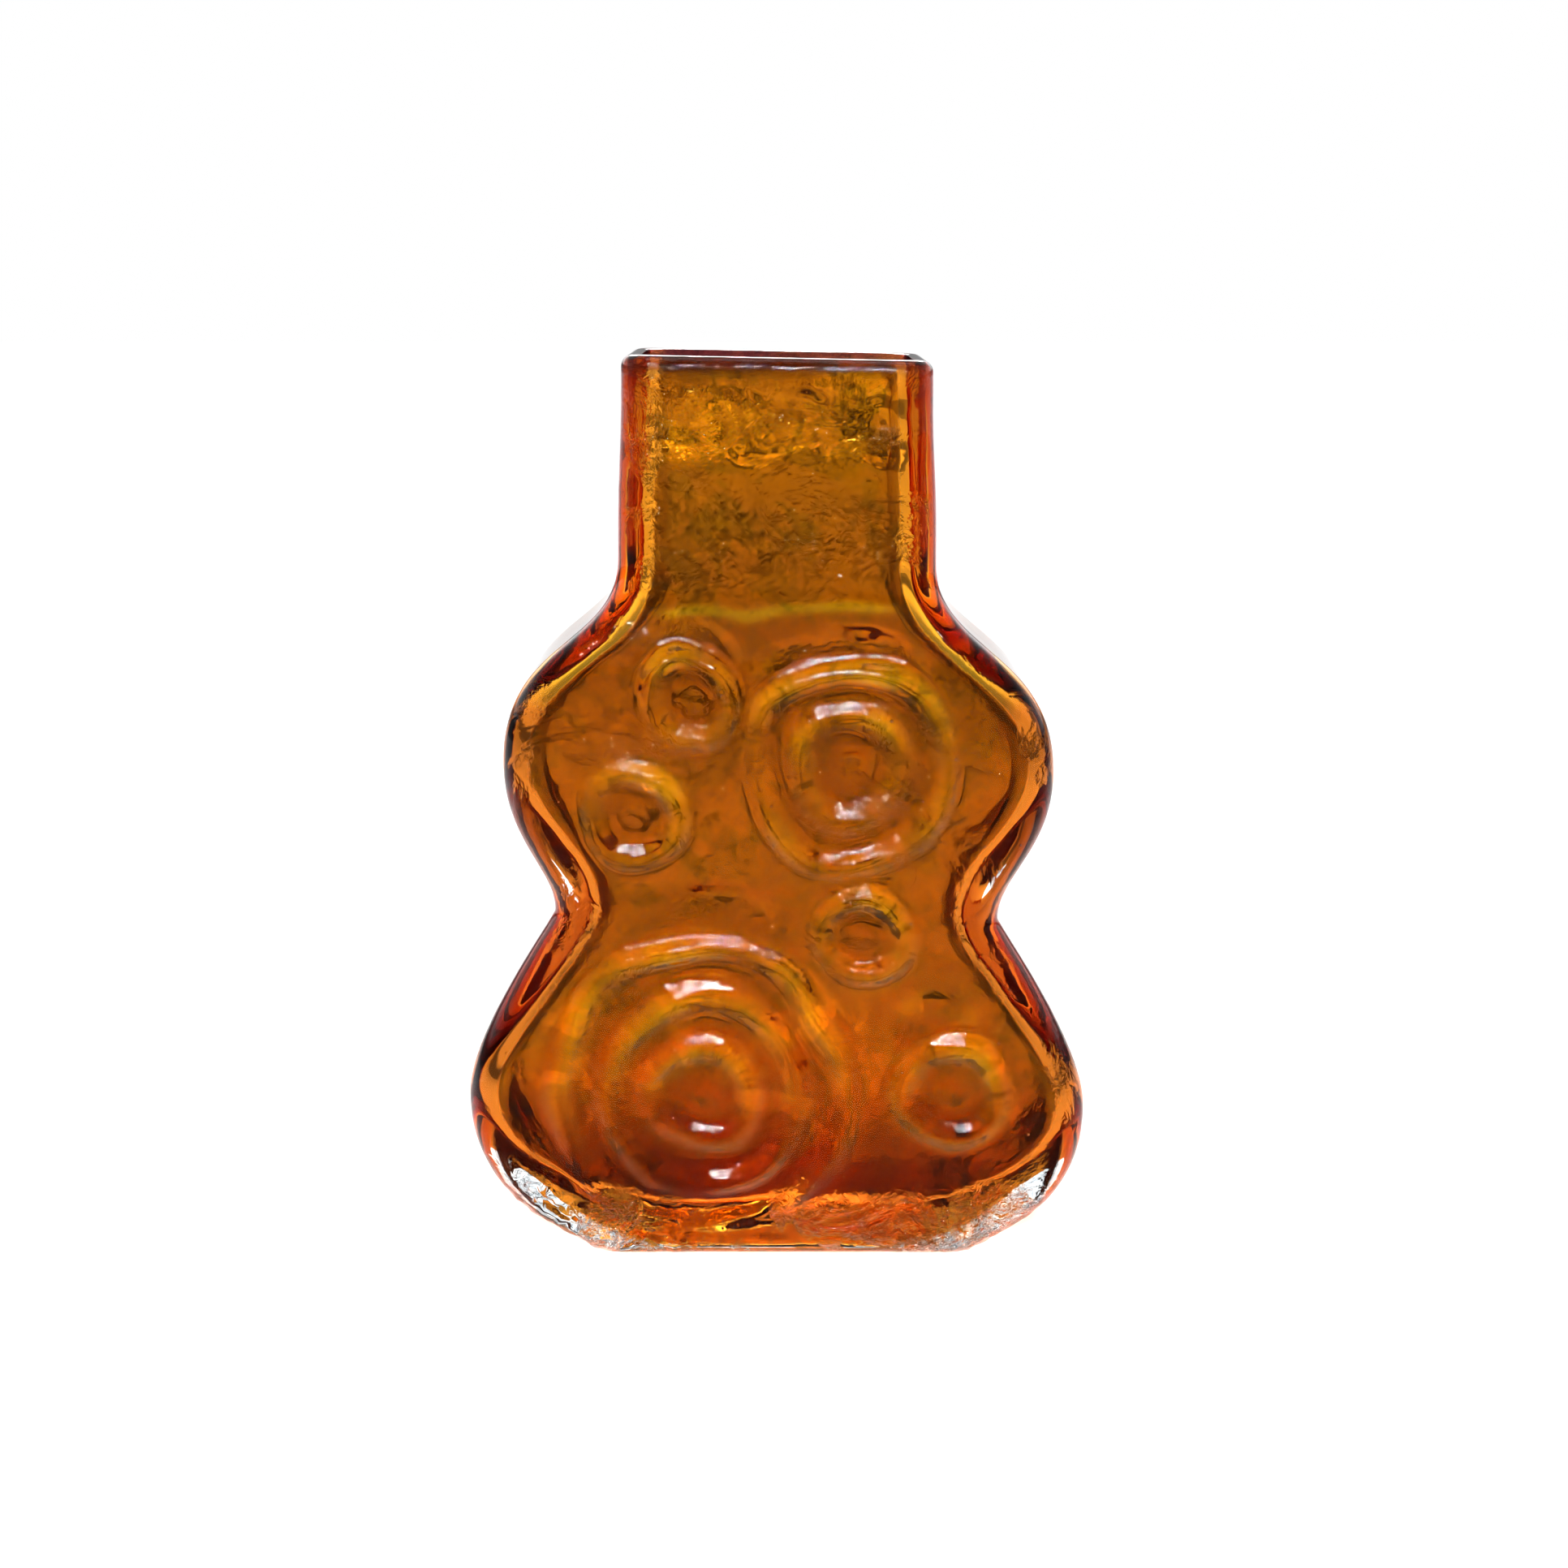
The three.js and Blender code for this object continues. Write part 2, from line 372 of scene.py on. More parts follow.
@dataclass(frozen=True)
class Ripple:
    """A set of raised rings round one centre, as rings on water."""

    across: float
    up: float
    spacing: float
    rings: int
    middle_share: float = 0.35
    sharpness: float = 1.4
    arc_start: float = 0.1
    arc_ease: float = 0.6
    least_away: float = 0.01 * MM

    def turns(self, x: Array, z: Array) -> Array:
        """Count the spacings from the centre to points of a face."""
        return np.hypot(x - self.across, z - self.up) / self.spacing

    def height(self, x: Array, z: Array) -> Array:
        """Give the height of the rings.

        Args:
            x: Places across the face.
            z: Places up the face.

        Returns:
            Heights from 0 to 1.
        """
        turns = self.turns(x, z)
        share = np.where(turns < 0.5, self.middle_share, 1.0)
        crest = np.cos(math.pi * turns) ** 2
        return np.where(turns < self.rings + 0.5, share * crest**self.sharpness, 0.0)

    def upper(self, x: Array, z: Array) -> Array:
        """Give 1 on the upper arcs of the rings, easing to 0 at their sides."""
        away = self.turns(x, z) * self.spacing + self.least_away
        return smooth(((z - self.up) / away - self.arc_start) / self.arc_ease)

    def inside(self, x: Array, z: Array) -> Array:
        """Give 1 inside the outermost ring, easing to 0 beyond it."""
        return smooth(self.rings + 0.5 - self.turns(x, z))


@dataclass(frozen=True)
class HandShape:
    """The irregular stance of hand-made glass."""

    slope: float = 0.02
    slope_start: float = 14 * MM
    wander: Stops = by_mm((0, 1.6 * MM), (12, 0.1 * MM), (70, 0.0), (100, 0.4 * MM), (140, 0.1 * MM))

    def lean(self, points: Array) -> Array:
        """Drop levels towards the right and let the middle wander sideways.

        Args:
            points: Places with X, Y and Z last.

        Returns:
            The moved places.
        """
        leaned = points.copy()
        leaned[..., 2] -= self.slope * points[..., 0] * smooth(points[..., 2] / self.slope_start)
        leaned[..., 0] += at_height(leaned[..., 2], self.wander)
        return leaned


@dataclass(frozen=True)
class MouldMarks:
    """Relief and chill marks of the outer surface, by where they lie."""

    ripples: tuple[Ripple, ...] = (
        Ripple(14 * MM, 101 * MM, 9.6 * MM, 2),
        Ripple(-28 * MM, 91 * MM, 8.8 * MM, 1),
        Ripple(-17 * MM, 114 * MM, 8 * MM, 1),
        Ripple(17 * MM, 67 * MM, 8.4 * MM, 1),
        Ripple(-15 * MM, 35 * MM, 9.6 * MM, 3),
        Ripple(35 * MM, 36 * MM, 9.2 * MM, 1),
    )
    ripple_height: float = 2.0 * MM
    wobble: float = 2.2 * MM
    wobble_across: Grain = Grain(17, 1000, 17, 61.0)
    wobble_up: Grain = Grain(17, 1000, 17, 67.0)
    wear: Grain = Grain(13, 1000, 13, 71.0)
    wear_level: float = 0.85
    wear_swing: float = 0.45
    margin: float = 12 * MM
    worn_below: float = 4 * MM
    waves: Grain = Grain(26, 26, 22, 3.1)
    waviness: float = 0.25 * MM
    dimples: Grain = Grain(5, 5, 5, 11.7)
    dimple_depth: float = 0.06 * MM
    patches: Grain = Grain(19, 40, 15, 5.9)
    patch_start: float = 0.05
    patch_ease: float = 0.3
    chill: Grain = Grain(6.5, 6.5, 4.5, 1.3)
    chill_depth: float = 0.17 * MM
    on_sides: float = 0.3
    heel_chill: Grain = Grain(2.8, 2.8, 2.3, 17.0)
    heel_depth: float = 0.55 * MM
    heel_top: float = 20 * MM
    heel_fade: float = 0.6
    heel_inside: float = 14 * MM
    heel_ease: float = 10 * MM
    # A line under the neck that carries a painted highlight in the lining's colour.
    ledge_level: float = 131 * MM
    ledge_reach: float = 2.6 * MM
    ledge_half: float = 30 * MM
    ledge_sway: float = 1.6
    ledge_waves: Grain = Grain(11, 1000, 30, 83.0)

    def rings(self, points: Array) -> tuple[Array, Array, Array]:
        """Read the ripples at points of a face.

        Args:
            points: Places in metres, one row each.

        Returns:
            The height of the rings from 0 to about 1, the same on their upper arcs alone, and
            1 inside any set of rings.
        """
        x = points[:, 0] + self.wobble * self.wobble_across.soft(points)
        z = points[:, 2] + self.wobble * self.wobble_up.soft(points)
        crests = np.max([ripple.height(x, z) for ripple in self.ripples], axis=0)
        arcs = np.max([ripple.height(x, z) * ripple.upper(x, z) for ripple in self.ripples], axis=0)
        inside = np.max([ripple.inside(x, z) for ripple in self.ripples], axis=0)
        worn = self.wear_level + self.wear_swing * self.wear.soft(points)
        return crests * worn, arcs * worn, inside

    def ledge(self, points: Array) -> Array:
        """Find the ledge under the neck, where the colour takes a painted highlight.

        Args:
            points: Places in metres, one row each.

        Returns:
            Shares, 1 along the ledge and 0 away from it.
        """
        z = points[:, 2] + self.ledge_sway * self.wobble * self.ledge_waves.soft(points)
        line = smooth(1.0 - np.abs(z - self.ledge_level) / self.ledge_reach)
        return line * smooth((self.ledge_half - np.abs(points[:, 0])) / self.margin)

    def relief(self, points: Array, half: Array) -> Array:
        """Give the height of the ripples on a face.

        Args:
            points: Places in metres, one row each.
            half: Half width of the face there.

        Returns:
            Heights, which die away towards the sides and the heel.
        """
        crests, _, _ = self.rings(points)
        raised = self.ripple_height * crests * smooth((points[:, 2] - self.worn_below) / self.margin)
        return raised * smooth((half - np.abs(points[:, 0])) / self.margin)

    def texture(self, points: Array, faces: Array) -> Array:
        """Give the uneven marks that the mould and the cooling left.

        Args:
            points: Places in metres, one row each.
            faces: How far each place faces the front or the back, from 0 to 1.

        Returns:
            Heights, lower on the smooth sides.
        """
        x, _, z = points.T
        wavy = self.waves.soft(points) * self.waviness
        dimpled = self.dimples.soft(points) * self.dimple_depth
        where = smooth((self.patches.soft(points) - self.patch_start) / self.patch_ease)
        marks = self.chill.creased(points) * self.chill_depth
        heel = smooth((self.heel_top - z) / (self.heel_fade * self.heel_top))
        heel *= smooth((np.abs(x) - self.heel_inside) / self.heel_ease)
        rough = self.heel_chill.creased(points) * self.heel_depth
        even = (wavy + dimpled + marks * where) * (self.on_sides + (1.0 - self.on_sides) * faces)
        return even + rough * heel


@dataclass(frozen=True)
class CavityMarks:
    """Unevenness of the cavity from the blowing, as a height away from the middle."""

    broad: Grain = Grain(20, 30, 16, 23.0)
    sag: float = 0.35 * MM
    collar_foot: float = 161 * MM
    collar_ease: float = 1.8 * MM
    collar_edge: Grain = Grain(9, 9, 9, 31.0)
    ragged: float = 5 * MM
    swell: float = 0.5 * MM
    wrinkles: Grain = Grain(12, 12, 4.2, 37.0)
    wrinkle_depth: float = 1.1 * MM
    curls: Grain = Grain(10, 10, 8, 43.0)
    curl: float = 4 * MM
    zones: Stops = ((145 * MM, 10 * MM), (100 * MM, 20 * MM), (62 * MM, 12 * MM))
    zone_patches: Grain = Grain(14, 30, 10, 47.0)
    zone_start: float = 0.15
    zone_ease: float = 0.3
    mottles: Grain = Grain(5.2, 5.2, 3.6, 53.0)
    mottle_depth: float = 0.2 * MM
    at_sides: float = 0.12
    side_fade: int = 6

    def rise(self, points: Array, normals: Array) -> Array:
        """Give the height at points of the cavity.

        Args:
            points: Places on the even cavity.
            normals: Directions out of the cavity there.

        Returns:
            Heights, with the swollen, wrinkled collar under the rim below zero.
        """
        z = points[:, 2]
        broad = self.broad.soft(points) * self.sag
        edge = self.collar_foot + self.ragged * self.collar_edge.soft(points)
        collar = smooth((z - edge) / self.collar_ease)
        curled = points.copy()
        curled[:, 2] += self.curl * self.curls.soft(points)
        wrinkles = self.wrinkles.creased(curled) * self.wrinkle_depth
        zones = np.max([smooth(1.0 - np.abs(z - middle) / reach) for middle, reach in self.zones], axis=0)
        zones *= smooth((self.zone_patches.soft(points) + self.zone_start) / self.zone_ease)
        mottles = self.mottles.creased(points) * self.mottle_depth
        marks = broad - collar * (self.swell + wrinkles) + mottles * zones
        return marks * (self.at_sides + (1.0 - self.at_sides) * np.abs(normals[:, 1]) ** self.side_fade)


@dataclass(frozen=True)
class Walls:
    """Thicknesses of the two layers and the shape of the cavity."""

    outline: Outline = field(default_factory=Outline)
    body_half_depth: float = 25.6 * MM
    neck_half_depth: float = 23 * MM
    step_top: float = 136 * MM
    step_rise: float = 18 * MM
    heel_radius: float = 5 * MM
    casing_face: float = 2.2 * MM
    casing_floor: float = 2.5 * MM
    casing_sides: Stops = by_mm(
        (0, 8 * MM),
        (32, 1.4 * MM),
        (70.5, 4.6 * MM),
        (99.5, 1.2 * MM),
        (141, 2.8 * MM),
    )
    lining_side: float = 2.2 * MM
    lining_face: float = 2.6 * MM
    lining_floor: float = 7.5 * MM
    foot_level: float = 14 * MM
    foot_reach: float = 34 * MM
    foot_hold: float = 0.45
    foot_rise: float = 0.55
    foot_face_radius: float = 4.5 * MM

    def half_depth(self, z: Array) -> Array:
        """Give the half depth of the outer faces at each height."""
        low = (self.step_top - self.step_rise, self.body_half_depth)
        return at_height(z, [low, (self.step_top, self.neck_half_depth)]) - tuck(self.heel_radius, z)

    def inner_rows(self, extra: float, floor: float, top: float, pitch: float) -> tuple[Rows, Array]:
        """Find the rows of a surface inside the wall, standing on a rounded foot.

        Args:
            extra: How much deeper in than the casing's inner side the surface lies.
            floor: Height of its flat floor.
            top: Height where it ends.
            pitch: Distance between rows.

        Returns:
            The rows from the floor up, and the half depth at each row, without what the layers
            take from it.
        """
        outer = self.outline.rows(pitch).between(self.foot_level, top - self.outline.lip_radius)
        walls = outer.inset(at_height(outer.z, self.casing_sides) + extra)
        slope = (walls.half[1] - walls.half[0]) / (walls.z[1] - walls.z[0])
        rise = self.foot_rise * (walls.z[0] - floor)
        handles = [
            (walls.half[0] - self.foot_reach, floor),
            (walls.half[0] - self.foot_hold * self.foot_reach, floor),
            (walls.half[0] - slope * rise, walls.z[0] - rise),
            (walls.half[0], walls.z[0]),
        ]
        foot = curve_rows(handles, pitch)[:-1].T
        end = (self.outline.rim[0] - self.casing_sides[-1][1] - extra, top, 1.0, 0.0)
        columns = zip(foot, (walls.half, walls.z, walls.out, walls.up), end)
        rows = Rows(*(np.concatenate([low, wall, [last]]) for low, wall, last in columns))
        depth = self.half_depth(np.maximum(rows.z, self.heel_radius))
        return rows, depth - tuck(self.foot_face_radius, rows.z - floor)


def loft(rows: Rows, depth: Array, radius: Array, template: Array) -> tuple[Array, Array]:
    """Set the section on every row.

    Args:
        rows: Rows up the surface.
        depth: Half depth at each row.
        radius: Edge radius at each row.
        template: The section's points.

    Returns:
        Points and outward normals, each as rows by points by three.
    """
    sx, sy, nx, ny = template.T
    x = sx * (rows.half - radius)[:, None] + nx * radius[:, None]
    y = sy * (depth - radius)[:, None] + ny * radius[:, None]
    z = np.broadcast_to(rows.z[:, None], x.shape)
    normal = np.stack([nx * rows.out[:, None], ny * np.ones_like(x), np.abs(nx) * rows.up[:, None]], axis=2)
    normal /= np.linalg.norm(normal, axis=2, keepdims=True)
    return np.stack([x, y, z], axis=2), normal


def cap(loop: Array, count: int, height: Callable[[Array], Array] | None = None) -> Array:
    """Fill a loop with smaller copies of itself towards its middle.

    Args:
        loop: Points of the loop.
        count: Number of copies.
        height: Gives the height to add at the points of a copy, if it isn't flat.

    Returns:
        The copies from the smallest to the largest, without the loop itself.
    """
    middle = np.array([0.0, 0.0, loop[0, 2]])
    copies = [middle + (loop - middle) * share for share in (np.arange(count) + 0.5) / (count + 0.5)]
    if height is not None:
        for copy in copies:
            copy[:, 2] += height(copy)
    return np.array(copies)


def closed_mesh(name: str, loops: Array) -> bpy.types.Object:
    """Skin a run of equal loops and close both ends with a fan.

    Args:
        name: Name of the new object.
        loops: Points as loops by points by three, turning outwards.

    Returns:
        The object, linked to the scene.
    """
    rows, count, _ = loops.shape
    points = np.concatenate([loops[:1].mean(axis=1), loops.reshape(-1, 3), loops[-1:].mean(axis=1)])
    i = np.arange(count)
    j = (i + 1) % count
    base = 1 + count * np.arange(rows - 1)[:, None]
    quads = np.stack([base + i, base + j, base + count + j, base + count + i], axis=2).reshape(-1, 4)
    last = 1 + count * (rows - 1)
    fans = [(0, int(1 + b), int(1 + a)) for a, b in zip(i, j)]
    fans += [(len(points) - 1, int(last + a), int(last + b)) for a, b in zip(i, j)]
    mesh = bpy.data.meshes.new(name)
    mesh.from_pydata(points.tolist(), [], quads.tolist() + fans)
    mesh.validate()
    mesh.shade_smooth()
    piece = bpy.data.objects.new(name, mesh)
    bpy.context.scene.collection.objects.link(piece)
    return piece


def quarter_round(size: Triple, foot: float, radius: float, inwards: bool, template: Array) -> Array:
    """Build the loops of a quarter round at the rim, from above its foot to its top.

    Args:
        size: Half width, half depth and edge radius of the level that it stands on.
        foot: Height of that level.
        radius: Radius of the round.
        inwards: Whether it closes towards the middle, as the lip does.
        template: The section's points.

    Returns:
        Points as rows by points by three.
    """
    half, depth, edge = size
    turn = np.linspace(0.0, 0.5 * math.pi, ROUND_STEPS + 1)[1:]
    move = radius * (1.0 - np.cos(turn)) * (-1.0 if inwards else 1.0)
    z = foot + radius * np.sin(turn)
    rows = Rows(half + move, z, np.ones_like(z), np.zeros_like(z))
    return loft(rows, depth + move, edge + move, template)[0]


@dataclass(frozen=True)
class Layer:
    """What the body of glass and its layer of colour share."""

    walls: Walls = field(default_factory=Walls)
    marks: MouldMarks = field(default_factory=MouldMarks)
    cavity_marks: CavityMarks = field(default_factory=CavityMarks)
    hand: HandShape = field(default_factory=HandShape)
    edge_radius: float = 6 * MM
    cavity_radius: float = 5.5 * MM
    mouth_radius: float = 2.2 * MM
    level_ends: float = 4 * MM

    def round_cavity(self, past: float, pitch: float, template: Array, round_radius: float) -> Array:
        """Build the loops of the cavity, or of a surface just past it.

        Args:
            past: How far past the cavity the surface lies.
            pitch: Distance between rows.
            template: The section's points.
            round_radius: Radius of the round at its mouth.

        Returns:
            Points as rows by points by three, from the floor to the top of the mouth.
        """
        walls = self.walls
        floor = walls.casing_floor + walls.lining_floor + past
        foot = walls.outline.rim[1] - self.mouth_radius
        rows, depth = walls.inner_rows(walls.lining_side + past, floor, foot, pitch)
        depth = depth - (walls.casing_face + walls.lining_face + past)
        points, normals = loft(rows, depth, np.full_like(depth, self.cavity_radius), template)
        flat = points.reshape(-1, 3)
        out = normals.reshape(-1, 3)
        rise = self.cavity_marks.rise(flat, out) * smooth((foot - flat[:, 2]) / self.level_ends)
        rise *= smooth((flat[:, 2] - floor) / self.level_ends)
        size = (float(rows.half[-1]), float(depth[-1]), self.cavity_radius)
        mouth = quarter_round(size, foot, round_radius, False, template)
        return np.concatenate([(flat + out * rise[:, None]).reshape(points.shape), mouth])


@dataclass(frozen=True)
class GlassBody(Layer):
    """The body of glass between the outside and the cavity."""

    section: Section = field(default_factory=Section)
    pitch: float = 1.15 * MM
    cavity_pitch: float = 1.35 * MM
    face_share: int = 8
    rest_ease: float = 2 * MM
    rim_ease: float = 7 * MM
    sole_size: Pair = (38 * MM, 21 * MM)
    sole_hollow: float = 0.7 * MM
    sole_rim: float = 3 * MM
    sole_chill: Grain = Grain(4, 4, 4, 53.0)
    sole_ease: float = 8 * MM
    sole_relief: float = 0.5 * MM
    sole_loops: int = 16
    floor_loops: int = 5

    def outside(self) -> Array:
        """Build the loops of the outer surface up to the foot of the lip.

        Returns:
            Points as rows by points by three.
        """
        rows = self.walls.outline.rows(self.pitch)
        depth = self.walls.half_depth(rows.z)
        points, normals = loft(rows, depth, np.full_like(depth, self.edge_radius), self.section.template())
        flat = points.reshape(-1, 3)
        out = normals.reshape(-1, 3)
        faces = np.abs(out[:, 1]) ** self.face_share
        rise = self.marks.texture(flat, faces)
        rise += self.marks.relief(flat, np.repeat(rows.half, points.shape[1])) * faces
        under_rim = self.walls.outline.rim[1] - flat[:, 2]
        rise *= smooth(flat[:, 2] / self.rest_ease) * smooth(under_rim / self.rim_ease)
        return (flat + out * rise[:, None]).reshape(points.shape)

    def sole_height(self, points: Array) -> Array:
        """Lift the sole inside its resting edge, with the marks of the mould at its ends.

        Args:
            points: Places on the flat sole.

        Returns:
            The height of each.
        """
        away = np.abs(points)
        half, depth = self.sole_size
        inside = 1.0 - np.maximum(away[:, 0] / half, away[:, 1] / depth)
        marks = self.sole_chill.creased(points) * self.marks.heel_depth
        ends = smooth((away[:, 0] - self.marks.heel_inside) / self.sole_ease)
        lift = self.sole_hollow + np.clip(marks * ends, -self.sole_relief, self.sole_relief)
        return smooth(inside * depth / self.sole_rim) * lift

    def build(self) -> bpy.types.Object:
        """Build the whole body as one closed mesh.

        Returns:
            The piece.
        """
        outline = self.walls.outline
        template = self.section.template()
        outside = self.outside()
        half, top = outline.rim
        size = (half, float(self.walls.half_depth(np.array([top]))[0]), self.edge_radius)
        lip = quarter_round(size, top - outline.lip_radius, outline.lip_radius, True, template)
        cavity = self.round_cavity(0.0, self.cavity_pitch, template, self.mouth_radius)
        sole = cap(outside[0], self.sole_loops, self.sole_height)
        floor = cap(cavity[0], self.floor_loops)
        loops = np.concatenate([sole, outside, lip, cavity[::-1], floor[::-1]])
        return closed_mesh("casing_glass", self.hand.lean(loops))


@dataclass(frozen=True)
class ColourLining(Layer):
    """The layer of orange inside the wall, next to the cavity, that flares into the lip."""

    section: Section = field(default_factory=lambda: Section(across=84, along=14, corner=6))
    pitch: float = 1.4 * MM
    plain_shade: float = 0.3
    crest_share: float = 0.6
    back_share: float = 0.4
    past_cavity: float = 0.3 * MM
    lip_cover: float = 0.15 * MM
    flare_rise: float = 10 * MM
    bed_radius: float = 4.5 * MM
    cap_loops: int = 6

    def outside(self) -> Array:
        """Build the loops next to the casing.

        Returns:
            Points as rows by points by three, from the floor to the top of the lip.
        """
        walls = self.walls
        half, top = walls.outline.rim
        lip = walls.outline.lip_radius
        rows, depth = walls.inner_rows(0.0, walls.casing_floor, top - lip, self.pitch)
        flare = smooth((rows.z - top + lip + self.flare_rise) / self.flare_rise)
        side = (walls.casing_sides[-1][1] - self.lip_cover) * flare
        depth = depth - (walls.casing_face * (1.0 - flare) + self.lip_cover * flare)
        edge = self.bed_radius + (self.edge_radius - self.lip_cover - self.bed_radius) * flare
        template = self.section.template()
        points, _ = loft(Rows(rows.half + side, rows.z, rows.out, rows.up), depth, edge, template)
        size = (half - self.lip_cover, float(depth[-1]), float(edge[-1]))
        return np.concatenate([points, quarter_round(size, top - lip, lip - self.lip_cover, True, template)])

    def shade(self, points: Array) -> Array:
        """Find where the rings thin the colour on their crests, and where painted highlights and painted
        shade go.

        Args:
            points: Places in metres, one row each.

        Returns:
            Shades, where the plain one means no change and 1 the most.
        """
        plain = self.plain_shade
        crests, arcs, inside = self.marks.rings(points)
        # Crests get thinner colour; their upper arcs and the ledge get painted highlights.
        lifted = self.crest_share * crests + (1.0 - self.crest_share) * arcs
        lifted = np.maximum(lifted, self.marks.ledge(points))
        # Inside the rings the valleys get painted shade; the back gets less of both.
        change = (1.0 - plain) * lifted - plain * inside * (1.0 - crests)
        return plain + change * np.where(points[:, 1] > 0.0, self.back_share, 1.0)

    def build(self) -> bpy.types.Object:
        """Build the layer as one closed mesh, with its side, and its thinner colour and painted light and
        shade, at each point.

        Returns:
            The piece.
        """
        outer = self.outside()
        round_radius = self.mouth_radius - self.lip_cover
        inner = self.round_cavity(self.past_cavity, self.pitch, self.section.template(), round_radius)
        under, floor = cap(outer[0], self.cap_loops), cap(inner[0], self.cap_loops)
        loops = np.concatenate([under, outer, inner[::-1], floor[::-1]])
        piece = closed_mesh("lining_glass", self.hand.lean(loops))
        sides = np.zeros(len(piece.data.vertices), dtype=np.float32)
        sides[1 + loops.shape[1] * (len(under) + len(outer)) :] = 1.0
        shades = np.full(len(sides), self.plain_shade, dtype=np.float32)
        shades[1:-1] = self.shade(loops.reshape(-1, 3))
        for name, values in ((CAVITY_SIDE, sides), (CREST_THINNING_AND_PAINTED_LIGHT, np.clip(shades, 0.0, 1.0))):
            piece.data.attributes.new(name, "FLOAT", "POINT").data.foreach_set("value", values)
        return piece


@dataclass(frozen=True)
class SeedBubbles:
    """Tiny bubbles caught in the clear glass, scattered over a surface inside the casing."""

    walls: Walls = field(default_factory=Walls)
    hand: HandShape = field(default_factory=HandShape)
    section: Section = field(default_factory=lambda: Section(across=12, along=4, corner=2))
    pitch: float = 9 * MM
    lowest: float = 6 * MM
    under_rim: float = 8 * MM
    under: float = 1.1 * MM
    edge_radius: float = 5 * MM
    per_square_metre: float = 1500.0
    smallest: float = 0.16 * MM
    largest: float = 0.42 * MM
    ball_detail: int = 2
    seed: int = 11

    def bed(self) -> bpy.types.Object:
        """Build the surface that the bubbles lie on.

        Returns:
            The object that becomes the bubbles.
        """
        outline = self.walls.outline
        top = outline.rim[1] - self.under_rim
        rows = outline.rows(self.pitch).between(self.lowest, top).inset(self.under)
        depth = self.walls.half_depth(rows.z) - self.under
        points, _ = loft(rows, depth, np.full_like(depth, self.edge_radius), self.section.template())
        return closed_mesh("seed_bubbles", self.hand.lean(points))

    def tree(self) -> Tree:
        """Make the node tree that scatters the bubbles.

        Returns:
            The tree, with an input for each size.
        """
        tree = bpy.data.node_groups.new("scatter_seed_bubbles", "GeometryNodeTree")
        kinds = {
            "Bed": "Geometry",
            "Per Square Metre": "Float",
            "Smallest": "Float",
            "Largest": "Float",
            "Seed": "Int",
            "Glass": "Material",
        }
        for label, kind in kinds.items():
            tree.interface.new_socket(label, in_out="INPUT", socket_type=f"NodeSocket{kind}")
        tree.interface.new_socket("Bubbles", in_out="OUTPUT", socket_type="NodeSocketGeometry")
        given = tree.nodes.new("NodeGroupInput").outputs
        scatter = add_node(
            tree,
            "GeometryNodeDistributePointsOnFaces",
            {0: given["Bed"], "Density": given["Per Square Metre"], "Seed": given["Seed"]},
        )
        radius = add_node(
            tree,
            "FunctionNodeRandomValue",
            {2: given["Smallest"], 3: given["Largest"], "Seed": given["Seed"]},
            data_type="FLOAT",
        )
        size = {"Radius": 1.0, "Subdivisions": self.ball_detail}
        ball = add_node(tree, "GeometryNodeMeshIcoSphere", size)
        place = add_node(
            tree,
            "GeometryNodeInstanceOnPoints",
            {
                "Points": scatter.outputs["Points"],
                "Instance": ball.outputs["Mesh"],
                "Scale": radius.outputs[1],
            },
        )
        solid = add_node(tree, "GeometryNodeRealizeInstances", {0: place.outputs[0]})
        soft = add_node(tree, "GeometryNodeSetShadeSmooth", {0: solid.outputs[0]})
        dressed = add_node(tree, "GeometryNodeSetMaterial", {0: soft.outputs[0], "Material": given["Glass"]})
        add_node(tree, "NodeGroupOutput", {0: dressed.outputs[0]})
        return tree

    def build(self, glass: bpy.types.Material) -> bpy.types.Object:
        """Scatter the bubbles and keep them as a plain mesh.

        Args:
            glass: The material of a bubble's skin.

        Returns:
            The piece.
        """
        piece = self.bed()
        modifier = piece.modifiers.new("scatter", "NODES")
        modifier.node_group = self.tree()
        values = {
            "Per Square Metre": self.per_square_metre,
            "Smallest": self.smallest,
            "Largest": self.largest,
            "Seed": self.seed,
            "Glass": glass,
        }
        for socket in modifier.node_group.interface.items_tree:
            if socket.in_out == "INPUT" and socket.name in values:
                modifier[socket.identifier] = values[socket.name]
        graph = bpy.context.evaluated_depsgraph_get()
        mesh = bpy.data.meshes.new_from_object(piece.evaluated_get(graph))
        piece.modifiers.clear()
        piece.data = mesh
        return piece


